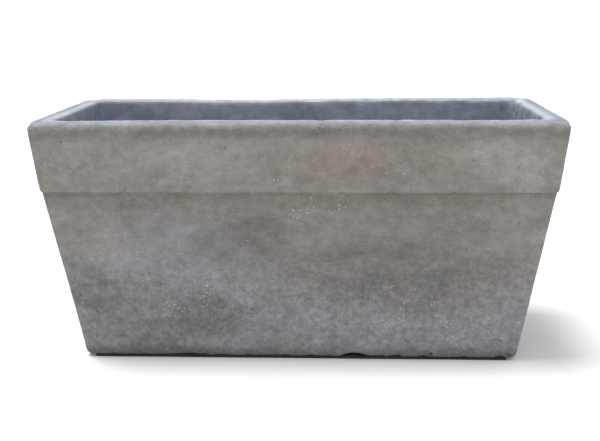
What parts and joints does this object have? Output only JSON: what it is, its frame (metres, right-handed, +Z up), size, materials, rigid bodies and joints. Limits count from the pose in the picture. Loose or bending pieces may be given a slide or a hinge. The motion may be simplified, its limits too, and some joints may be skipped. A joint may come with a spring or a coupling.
{
  "type": "self watering planter",
  "caption": "Tapered cast trough planter with a raised rim band and a lift-out wicking insert over a water reservoir, with a filler, float gauge, overflow and drain.",
  "frame": {"origin": "on the ground, under the middle of the trough", "axes": "+X along the trough's length, -Y is the front face, +Z up"},
  "size_m": [0.8, 0.35, 0.386],
  "materials": {
    "fibre_cement": "matte cast fibre cement, grey-brown with blue-grey patches, drag streaks, pits and pale grit",
    "reservoir_plastic": "moulded black polypropylene, fine texture",
    "insert_plastic": "moulded dark grey polypropylene",
    "filter_fleece": "needled grey-white geotextile",
    "rubber": "black rubber",
    "tube_plastic": "extruded grey pipe with fine lengthwise lines",
    "lid_plastic": "moulded anthracite plastic",
    "strainer_plastic": "moulded light grey plastic",
    "pin_steel": "drawn stainless wire",
    "clear_plastic": "clear polycarbonate, slightly hazed",
    "float_foam": "beaded foam",
    "rod_plastic": "smooth white rod",
    "pointer_red": "glossy red plastic",
    "fitting_plastic": "moulded black nylon"
  },
  "bodies": {
    "shell": {"planter_body": "fibre_cement", "reservoir_tray": "reservoir_plastic", "foot_strip_front": "rubber", "foot_strip_back": "rubber", "foot_strip_left": "rubber", "foot_strip_right": "rubber", "overflow_fitting": "fitting_plastic", "overflow_gasket": "rubber", "overflow_washer": "rubber", "overflow_nut": "fitting_plastic", "overflow_strainer": "strainer_plastic", "drain_bushing": "fitting_plastic", "drain_gasket": "rubber", "drain_washer": "rubber", "drain_nut": "fitting_plastic"},
    "insert": {"soil_deck": "insert_plastic", "root_fleece": "filter_fleece", "support_column_1": "insert_plastic", "support_column_2": "insert_plastic", "support_column_3": "insert_plastic", "support_column_4": "insert_plastic", "support_column_5": "insert_plastic", "support_column_6": "insert_plastic", "wick_basket_left": "insert_plastic", "wick_basket_middle": "insert_plastic", "wick_basket_right": "insert_plastic", "fill_tube": "tube_plastic", "fill_funnel": "lid_plastic", "fill_strainer": "strainer_plastic", "lid_hinge_pin": "pin_steel", "float_cage": "insert_plastic", "gauge_base": "insert_plastic", "sight_tube": "clear_plastic", "gauge_cap": "clear_plastic"},
    "lid": {"filler_lid": "lid_plastic"},
    "float_gauge": {"gauge_float": "float_foam", "float_rod": "rod_plastic", "level_pointer": "pointer_red"},
    "seal": {"drain_plug_seal": "rubber"},
    "plug": {"drain_plug": "fitting_plastic"}
  },
  "joints": [
    {"name": "insert_lift", "type": "slide", "parent": "shell", "child": "insert", "axis": [0, 0, 1], "range_m": [0, 0.4]},
    {"name": "lid_flip", "type": "hinge", "parent": "insert", "child": "lid", "pos_m": [-0.311, -0.06365, 0.364], "axis": [0, -1, 0], "range_deg": [0, 105]},
    {"name": "float_rise", "type": "slide", "parent": "insert", "child": "float_gauge", "axis": [0, 0, 1], "range_m": [0, 0.07]},
    {"name": "plug_travel", "type": "slide", "parent": "shell", "child": "seal", "axis": [0, 1, 0], "range_m": [0, 0.01501]},
    {"name": "plug_turn", "type": "hinge", "parent": "seal", "child": "plug", "pos_m": [-0.2, 0.14, 0.046], "axis": [0, 1, 0], "range_deg": [0, 1800]}
  ],
  "couplings": [
    {"joint": "plug_travel", "follows": "plug_turn", "m_per_rad": 0.000477}
  ]
}
